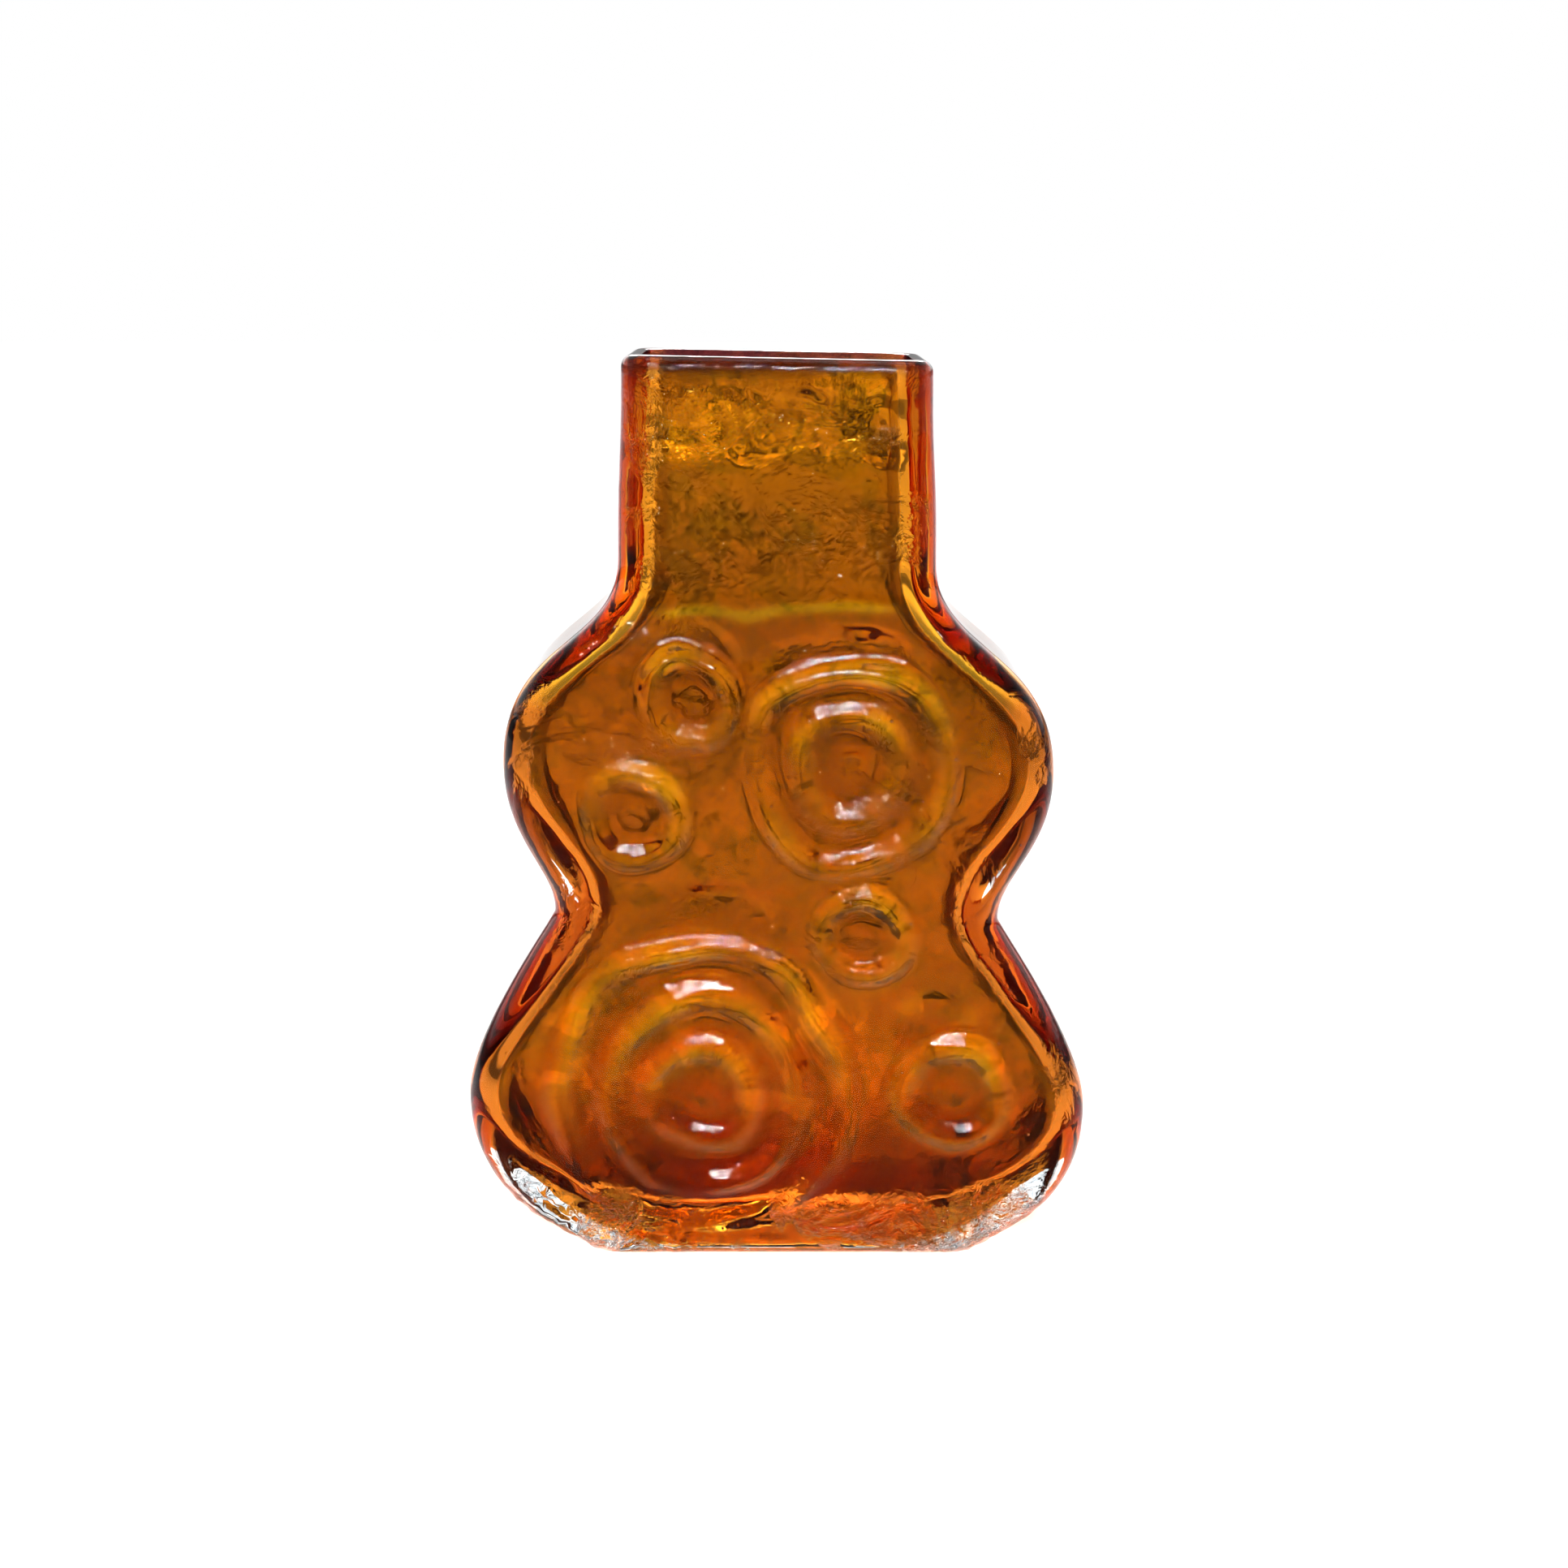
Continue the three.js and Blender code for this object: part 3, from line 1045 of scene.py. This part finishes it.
@dataclass(frozen=True)
class ChillField:
    """Node group for the patches and fine marks of chilled glass, used by both glasses.

    Each noise is given as its detail and its distortion.
    """

    name: str = "chill_field"
    patch_noise: Pair = (6.0, 1.2)
    mark_noise: Pair = (3.0, 1.4)
    curl_noise: Pair = (2.0, 1.8)
    curl_scale: float = 0.4
    curl_line: Pair = (0.015, 0.045)

    def tree(self) -> Tree:
        """Give the group, made on its first use.

        Returns:
            The tree. Mask is 1 inside the patches, Marks has fine marks all over, and Curls is 1
            along thin wandering lines.
        """
        if self.name in bpy.data.node_groups:
            return bpy.data.node_groups[self.name]
        tree = bpy.data.node_groups.new(self.name, "ShaderNodeTree")
        for label in ("Patch Scale", "Mark Scale", "Low", "High"):
            tree.interface.new_socket(label, in_out="INPUT", socket_type="NodeSocketFloat")
        for label in ("Mask", "Marks", "Curls"):
            tree.interface.new_socket(label, in_out="OUTPUT", socket_type="NodeSocketFloat")
        given = tree.nodes.new("NodeGroupInput").outputs
        place = add_node(tree, "ShaderNodeTexCoord", {}).outputs["Object"]
        patches = self.noise(tree, place, given["Patch Scale"], self.patch_noise)
        mask = add_span(tree, patches, given["Low"], given["High"], eased=True)
        marks = self.noise(tree, place, given["Mark Scale"], self.mark_noise)
        coarser = add_sum(tree, "MULTIPLY", given["Mark Scale"], self.curl_scale)
        waves = self.noise(tree, place, coarser, self.curl_noise)
        away = add_sum(tree, "ABSOLUTE", add_sum(tree, "SUBTRACT", waves, 0.5))
        curls = add_span(tree, away, *self.curl_line, (1.0, 0.0), eased=True)
        add_node(tree, "NodeGroupOutput", {"Mask": mask, "Marks": marks, "Curls": curls})
        return tree

    def noise(self, tree: Tree, place: Socket, scale: Socket, kind: Pair) -> Socket:
        """Add noise of a kind to a tree."""
        values = {"Vector": place, "Scale": scale, "Detail": kind[0], "Distortion": kind[1]}
        return add_node(tree, "ShaderNodeTexNoise", values).outputs["Fac"]

    def place(self, tree: Tree, patch_scale: float, mark_scale: float, low: float, high: float) -> Node:
        """Put the group in a material.

        Args:
            tree: The material's tree.
            patch_scale: How small the patches are.
            mark_scale: How small the marks are.
            low: Noise at which a patch starts.
            high: Noise at which a patch is full.

        Returns:
            The group's node.
        """
        made = tree.nodes.new("ShaderNodeGroup")
        made.node_tree = self.tree()
        for socket, value in zip(made.inputs, (patch_scale, mark_scale, low, high)):
            socket.default_value = value
        return made


def glass_material(name: str, base: Triple, ior: float) -> bpy.types.Material:
    """Make a glass that lets light through to what lies behind it.

    Args:
        name: The material's name.
        base: Colour of its surface.
        ior: Index of refraction.

    Returns:
        The material, with a Principled BSDF that is transparent to shadows.
    """
    material = bpy.data.materials.new(name)
    material.use_nodes = True
    tree = material.node_tree
    shader = tree.nodes["Principled BSDF"]
    shader.inputs["Base Color"].default_value = (*base, 1.0)
    shader.inputs["Roughness"].default_value = 0.0
    shader.inputs["IOR"].default_value = ior
    shader.inputs["Transmission Weight"].default_value = 1.0
    through = tree.nodes.new("ShaderNodeBsdfTransparent")
    through.inputs["Color"].default_value = (*[math.sqrt(part) for part in base], 1.0)
    shadow = tree.nodes.new("ShaderNodeLightPath").outputs["Is Shadow Ray"]
    mix = add_node(tree, "ShaderNodeMixShader", {0: shadow, 1: shader.outputs[0], 2: through.outputs[0]})
    tree.links.new(mix.outputs[0], tree.nodes["Material Output"].inputs["Surface"])
    return material


def add_depth(material: bpy.types.Material, colour: Triple, density: float) -> None:
    """Let a glass darken with depth.

    Args:
        material: The glass.
        colour: What is left of white after some depth.
        density: How fast it darkens, per metre.
    """
    tree = material.node_tree
    depth = add_node(tree, "ShaderNodeVolumeAbsorption", {"Color": (*colour, 1.0), "Density": density})
    tree.links.new(depth.outputs[0], tree.nodes["Material Output"].inputs["Volume"])


@dataclass(frozen=True)
class ClearGlass:
    """Clear crown glass of the casing, with fine chill marks in patches and flecks at the heel."""

    tint: Triple = (0.985, 0.99, 0.985)
    gloss_tint: Triple = (0.075, 0.075, 0.075)
    ior: float = 1.5
    depth_colour: Triple = (0.0, 0.35, 0.2)
    depth_density: float = 2.0
    marks: tuple[float, float, float, float] = (55.0, 420.0, 0.48, 0.62)
    mark_depth: float = 0.45 * MM
    mark_zones: Stops = by_mm(
        (0, 3.0),
        (9, 3.0),
        (18, 0.55),
        (80, 0.7),
        (104, 1.2),
        (114, 0.3),
        (131, 0.3),
        (138, 1.0),
        (150, 1.0),
        (156, 0.3),
        (162, 1.3),
        (175, 0.8),
    )
    flecks: tuple[float, float, float, float] = (150.0, 420.0, 0.47, 0.52)
    fleck_tint: Triple = (0.36, 0.39, 0.43)
    fleck_zone: Pair = (12 * MM, 19 * MM)
    corner_zone: Pair = (10 * MM, 26 * MM)
    middle_flecks: float = 0.5

    def bump(self, tree: Tree, height: Socket) -> Socket:
        """Add the fine marks, which show on the front and the back.

        Args:
            tree: The material's tree.
            height: The height above the rest face.

        Returns:
            The normal.
        """
        chill = ChillField().place(tree, *self.marks)
        marked = add_sum(tree, "MULTIPLY", chill.outputs["Marks"], chill.outputs["Mask"])
        turned = add_parts(tree, "Normal").outputs["Y"]
        facing = add_sum(tree, "MULTIPLY", turned, turned)
        zoned = add_sum(tree, "MULTIPLY", facing, add_ramp(tree, height, self.mark_zones, TALL))
        rise = add_sum(tree, "MULTIPLY", marked, zoned)
        values = {"Strength": 1.0, "Distance": self.mark_depth, "Height": rise}
        return add_node(tree, "ShaderNodeBump", values).outputs[0]

    def fleck(self, tree: Tree, parts: bpy.types.Node) -> Socket:
        """Find the grey flecks of the heel, which are thickest in its corners.

        Args:
            tree: The material's tree.
            parts: The place as X, Y and Z.

        Returns:
            The mask.
        """
        flecks = ChillField().place(tree, *self.flecks).outputs["Mask"]
        heel = add_span(tree, parts.outputs["Z"], *self.fleck_zone, (1.0, 0.0))
        across = add_sum(tree, "ABSOLUTE", parts.outputs["X"])
        corner = add_span(tree, across, *self.corner_zone, (self.middle_flecks, 1.0))
        return add_sum(tree, "MULTIPLY", flecks, add_sum(tree, "MULTIPLY", corner, heel))

    def build(self) -> bpy.types.Material:
        """Make the material.

        Returns:
            The material.
        """
        material = glass_material("clear_casing_glass", self.tint, self.ior)
        tree = material.node_tree
        shader = tree.nodes["Principled BSDF"]
        shader.inputs["Specular Tint"].default_value = (*self.gloss_tint, 1.0)
        parts = add_parts(tree, "Object")
        colour = add_mix(tree, self.fleck(tree, parts), self.tint, self.fleck_tint)
        tree.links.new(colour, shader.inputs["Base Color"])
        tree.links.new(self.bump(tree, parts.outputs["Z"]), shader.inputs["Normal"])
        add_depth(material, self.depth_colour, self.depth_density)
        return material


@dataclass(frozen=True)
class OrangeGlass:
    """The coloured layer: weak colour next to the casing, strong next to the cavity."""

    bed_by_height: ColourStops = by_mm(
        (6, (0.80, 0.35, 0.04)),
        (12, (0.64, 0.20, 0.015)),
        (22, (0.54, 0.16, 0.015)),
        (112, (0.54, 0.16, 0.015)),
        # Lighter from 112 mm to 141 mm: painted light at the shoulders, standing in for their bright inner
        # reflections.
        (121, (0.78, 0.44, 0.03)),
        (141, (0.95, 0.36, 0.02)),
    )
    by_height: ColourStops = by_mm(
        (8, (0.325, 0.155, 0.015)),
        (35, (0.365, 0.315, 0.027)),
        (66, (0.465, 0.352, 0.043)),
        (98, (0.480, 0.373, 0.038)),
        (112, (0.462, 0.332, 0.036)),
        (116.5, (0.375, 0.170, 0.024)),
        (121, (0.312, 0.112, 0.020)),
        (128, (0.353, 0.166, 0.022)),
        (143, (0.377, 0.278, 0.048)),
        (154, (0.431, 0.332, 0.048)),
        (173, (0.531, 0.435, 0.124)),
        # The last stop darkens the rim: painted shade for looking along the glass.
        (178, (0.06, 0.01, 0.014)),
    )
    # Factors on the lining's colour: below 0.3 painted shade in the valleys, above it thinner colour on the
    # crests, rising to painted golden highlights on their upper arcs and the ledge.
    by_crest: ColourStops = (
        (0.0, (0.87, 0.82, 0.75)),
        (0.3, (1.0, 1.0, 1.0)),
        (0.55, (1.05, 1.15, 1.0)),
        (0.8, (1.45, 2.1, 1.4)),
        (1.0, (1.6, 3.0, 1.8)),
    )
    marks: tuple[float, float, float, float] = (70.0, 430.0, 0.52, 0.58)
    patch_tint: Triple = (0.7, 0.88, 0.6)
    speck_tint: Triple = (0.46, 0.4, 0.45)
    speck_edge: Pair = (0.8, 0.83)
    speck_zones: Stops = by_mm(
        (18, 0.1),
        (60, 0.15),
        (90, 0.16),
        (115, 0.17),
        (127, 0.12),
        (136, 0.23),
        (150, 0.23),
        (155, 0.05),
        (161, 0.22),
    )
    clustered: float = 0.08
    curl_share: float = 2.6
    curl_zones: Stops = by_mm((0, 0.0), (158, 0.0), (163, 1.0))
    dark_curl: Triple = (0.36, 0.3, 0.4)
    golden_curl: Triple = (1.45, 1.6, 1.3)
    chips: tuple[float, float, float, float] = (42.0, 300.0, 0.56, 0.57)
    chip_tint: Triple = (1.8, 2.0, 1.3)
    chip_zones: Stops = by_mm((18, 0.0), (24, 1.0), (48, 1.0), (58, 0.0), (160, 0.0), (164, 1.0))
    # From here up both sides take the darkened rim colour, painted shade.
    rim_zone: Pair = (175.5 * MM, 178 * MM)
    shadow_tint: Triple = (0.69, 0.34, 0.1)
    depth_colour: Triple = (0.81, 0.62, 0.4)
    depth_density: float = 80.0
    ior: float = 1.0

    def marked(self, tree: Tree, height: Socket, plain: Socket) -> Socket:
        """Lay patches, chips, specks and curls over the plain colour.

        Args:
            tree: The material's tree.
            height: The height above the rest face.
            plain: The plain colour.

        Returns:
            The colour with its marks.
        """
        chill = ChillField().place(tree, *self.marks).outputs
        chips = ChillField().place(tree, *self.chips).outputs["Mask"]
        zones = add_ramp(tree, height, self.speck_zones, TALL)
        chipped = add_sum(tree, "MULTIPLY", chips, add_ramp(tree, height, self.chip_zones, TALL))
        grouped = add_span(tree, chill["Mask"], 0.0, 1.0, (-self.clustered, self.clustered))
        raised = add_sum(tree, "ADD", chill["Marks"], add_sum(tree, "ADD", grouped, zones))
        lines = add_sum(tree, "MULTIPLY", add_sum(tree, "MULTIPLY", chill["Curls"], zones), self.curl_share)
        collar = add_ramp(tree, height, self.curl_zones, TALL)
        layers = (
            (chill["Mask"], self.patch_tint),
            (chipped, self.chip_tint),
            (add_span(tree, raised, *self.speck_edge), self.speck_tint),
            (lines, add_mix(tree, collar, self.dark_curl, self.golden_curl)),
        )
        colour = plain
        for where, tint in layers:
            colour = add_mix(tree, where, colour, tint, "MULTIPLY")
        return colour

    def build(self) -> bpy.types.Material:
        """Make the material.

        Returns:
            The material.
        """
        material = glass_material("orange_lining_glass", self.shadow_tint, self.ior)
        tree = material.node_tree
        height = add_parts(tree, "Object").outputs["Z"]
        cavity = self.marked(tree, height, add_ramp(tree, height, self.by_height, TALL))
        bed = add_ramp(tree, height, self.bed_by_height, TALL)
        side = add_node(tree, "ShaderNodeAttribute", {}, attribute_name=CAVITY_SIDE).outputs["Fac"]
        strong = add_sum(tree, "MAXIMUM", side, add_span(tree, height, *self.rim_zone))
        # Painted light and shade of the rings and the ledge, with their thinner colour.
        crest = add_node(tree, "ShaderNodeAttribute", {}, attribute_name=CREST_THINNING_AND_PAINTED_LIGHT).outputs["Fac"]
        crested = add_ramp(tree, crest, self.by_crest)
        colour = add_mix(tree, 1.0, add_mix(tree, strong, bed, cavity), crested, "MULTIPLY")
        tree.links.new(colour, tree.nodes["Principled BSDF"].inputs["Base Color"])
        add_depth(material, self.depth_colour, self.depth_density)
        return material


@dataclass(frozen=True)
class BubbleSkin:
    """The skin of an air bubble, seen from inside the glass."""

    tint: Triple = (0.97, 0.97, 0.97)
    ior: float = 0.667

    def build(self) -> bpy.types.Material:
        """Make the material."""
        return glass_material("seed_bubble_skin", self.tint, self.ior)


@dataclass(frozen=True)
class Softbox:
    """A rectangular lamp that faces a point."""

    name: str
    place: Triple
    target: Triple
    size: Pair
    power: float
    lights_floor: bool = True

    def build(self) -> None:
        """Make the lamp and aim it."""
        lamp = bpy.data.lights.new(self.name, "AREA")
        lamp.shape = "RECTANGLE"
        lamp.size, lamp.size_y = self.size
        lamp.energy = self.power
        holder = bpy.data.objects.new(self.name, lamp)
        bpy.context.scene.collection.objects.link(holder)
        holder.visible_camera = False
        holder.visible_diffuse = holder.visible_transmission = self.lights_floor
        aim(holder, self.place, self.target)


def aim(thing: bpy.types.Object, place: Triple, target: Triple) -> None:
    """Set a lamp or a camera at a place, facing a point."""
    thing.location = place
    thing.rotation_euler = (Vector(target) - Vector(place)).to_track_quat("-Z", "Y").to_euler()


@dataclass(frozen=True)
class Studio:
    """The pale floor, the white surroundings, the lamps and the camera."""

    floor_size: float = 12.0
    floor_gap: float = 0.2 * MM
    floor_colour: Triple = (0.86, 0.86, 0.86)
    floor_lift: float = 0.5
    # The floor under the vase is left unlifted: a painted shadow.
    under_vase: Pair = (46 * MM, 25 * MM)
    under_edges: Pair = (0.75, 1.1)
    flag_edges: Pair = (0.45, 0.85)
    flag_level: float = 0.8
    fill: float = 0.6
    gloss_sky: Stops = (
        (0.0, 0.5),
        (0.015, 0.3),
        (0.085, 0.3),
        (0.13, 2.0),
        (0.3, 2.0),
        (0.5, 0.8),
        (1.0, 0.3),
    )
    camera_place: Triple = (0.0, -0.580, 0.200)
    lens: float = 66.2
    sensor: float = 36.0
    shift: Pair = (0.00466, 0.0092)
    clamp: float = 5.0
    bounces: int = 32
    gloss_bounces: int = 16
    lamps: tuple[Softbox, ...] = (
        Softbox("front_softbox", (-0.05, -0.82, 0.79), MIDDLE, (0.45, 0.1), 14.0),
        Softbox("front_strip", (-0.05, -0.94, 0.66), MIDDLE, (0.7, 0.06), 90.0, lights_floor=False),
        Softbox("top_softbox", (0.1, 0.0, 1.3), MIDDLE, (0.8, 0.8), 4.0),
        Softbox("back_softbox", (0.0, 0.42, 0.36), (0.0, 0.3, 0.0), (0.25, 0.12), 1.3),
    )

    def flag(self, tree: Tree, place: Socket) -> Socket:
        """Dim what lies to the left and right, as dark cards beside glass do.

        Args:
            tree: The tree of the floor or the world.
            place: A point of the floor, or a direction.

        Returns:
            The level, which is 1 to the front and back.
        """
        flat = add_node(tree, "ShaderNodeVectorMath", {0: place, 1: (1.0, 1.0, 0.0)}, operation="MULTIPLY")
        ahead = add_node(tree, "ShaderNodeVectorMath", {0: flat.outputs[0]}, operation="NORMALIZE")
        split = add_node(tree, "ShaderNodeSeparateXYZ", {0: ahead.outputs[0]})
        sideways = add_sum(tree, "ABSOLUTE", split.outputs["X"])
        return add_span(tree, sideways, *self.flag_edges, (1.0, self.flag_level), eased=True)

    def seen_ray(self, tree: Tree) -> tuple[Socket, Socket]:
        """Tell which rays show the background.

        Args:
            tree: The tree of the floor or the world.

        Returns:
            A mask of the camera's rays, and one of the rays in gloss and glass.
        """
        path = tree.nodes.new("ShaderNodeLightPath").outputs
        glass = add_sum(tree, "MAXIMUM", path["Is Glossy Ray"], path["Is Transmission Ray"])
        return path["Is Camera Ray"], glass

    def lift(self, tree: Tree) -> Node:
        """Light the floor from within where it is seen, apart from under the vase, which keeps a painted
        shadow that the glass shows.

        Args:
            tree: The floor's tree.

        Returns:
            The node of the light.
        """
        place = add_node(tree, "ShaderNodeTexCoord", {}).outputs["Object"]
        across, along = self.under_vase
        share = (1.0 / across, 1.0 / along, 0.0)
        near = add_node(tree, "ShaderNodeVectorMath", {0: place, 1: share}, operation="MULTIPLY")
        away = add_node(tree, "ShaderNodeVectorMath", {0: near.outputs[0]}, operation="LENGTH")
        camera, glass = self.seen_ray(tree)
        shown = add_sum(tree, "MAXIMUM", camera, add_sum(tree, "MULTIPLY", glass, self.flag(tree, place)))
        beside = add_span(tree, away.outputs["Value"], *self.under_edges, eased=True)
        strength = add_sum(tree, "MULTIPLY", add_sum(tree, "MULTIPLY", shown, beside), self.floor_lift)
        return add_node(tree, "ShaderNodeEmission", {"Strength": strength})

    def floor(self) -> None:
        """Lay the floor, lifted to white where it is lit."""
        half = 0.5 * self.floor_size
        mesh = bpy.data.meshes.new("floor")
        corners = [(-half, -half), (half, -half), (half, half), (-half, half)]
        mesh.from_pydata([(x, y, -self.floor_gap) for x, y in corners], [], [(0, 1, 2, 3)])
        plane = bpy.data.objects.new("floor", mesh)
        bpy.context.scene.collection.objects.link(plane)
        material = bpy.data.materials.new("pale_floor")
        material.use_nodes = True
        tree = material.node_tree
        shader = tree.nodes["Principled BSDF"]
        shader.inputs["Base Color"].default_value = (*self.floor_colour, 1.0)
        shader.inputs["Roughness"].default_value = 1.0
        shader.inputs["Specular IOR Level"].default_value = 0.0
        both = add_node(tree, "ShaderNodeAddShader", {0: shader.outputs[0], 1: self.lift(tree).outputs[0]})
        tree.links.new(both.outputs[0], tree.nodes["Material Output"].inputs["Surface"])
        mesh.materials.append(material)

    def surroundings(self) -> None:
        """Surround the scene with white, graded with height for gloss and glass."""
        world = bpy.data.worlds.new("studio")
        bpy.context.scene.world = world
        world.use_nodes = True
        tree = world.node_tree
        place = add_node(tree, "ShaderNodeTexCoord", {}).outputs["Generated"]
        split = add_node(tree, "ShaderNodeSeparateXYZ", {0: place})
        sky = add_ramp(tree, split.outputs["Z"], self.gloss_sky)
        level = add_sum(tree, "MULTIPLY", sky, self.flag(tree, place))
        camera, glass = self.seen_ray(tree)
        filled = add_node(tree, "ShaderNodeMix", {0: glass, 2: self.fill, 3: level}, data_type="FLOAT")
        white = add_node(tree, "ShaderNodeMix", {0: camera, 2: filled.outputs[0], 3: 1.0}, data_type="FLOAT")
        tree.links.new(white.outputs[0], tree.nodes["Background"].inputs["Color"])

    def camera(self) -> None:
        """Place the camera where the photograph was taken from."""
        lens = bpy.data.cameras.new("camera")
        lens.lens = self.lens
        lens.sensor_width = self.sensor
        lens.shift_x, lens.shift_y = self.shift
        camera = bpy.data.objects.new("camera", lens)
        bpy.context.scene.collection.objects.link(camera)
        aim(camera, self.camera_place, MIDDLE)
        bpy.context.scene.camera = camera

    def build(self) -> None:
        """Set up everything round the vase."""
        scene = bpy.context.scene
        scene.view_settings.view_transform = "Standard"
        scene.cycles.max_bounces = self.bounces
        scene.cycles.transmission_bounces = self.bounces
        scene.cycles.glossy_bounces = self.gloss_bounces
        scene.cycles.transparent_max_bounces = self.bounces
        scene.cycles.sample_clamp_indirect = self.clamp
        self.camera()
        self.floor()
        self.surroundings()
        for lamp in self.lamps:
            lamp.build()


def enter(piece: bpy.types.Object, slot: Slot, *nodes: str) -> None:
    """Give a piece its body and hide the CAD nodes that it stands for.

    Args:
        piece: The finished piece.
        slot: The record's material slot; not used.
        nodes: The CAD nodes, if any.
    """
    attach(piece, ROOT)
    if nodes:
        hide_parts(*nodes)
    triangles = sum(len(face.vertices) - 2 for face in piece.data.polygons)
    LOG.info("%s: %d triangles", piece.name, triangles)


def main() -> None:
    """Build the vase and its studio."""
    logging.basicConfig(level=logging.INFO, format="%(name)s: %(message)s")
    Studio().build()
    body = GlassBody().build()
    body.data.materials.append(ClearGlass().build())
    enter(body, Slot.CLEAR, "clear_casing")
    lining = ColourLining().build()
    lining.data.materials.append(OrangeGlass().build())
    enter(lining, Slot.ORANGE, "coloured_lining")
    enter(SeedBubbles().build(BubbleSkin().build()), Slot.CLEAR)


if __name__ == "__main__":
    main()
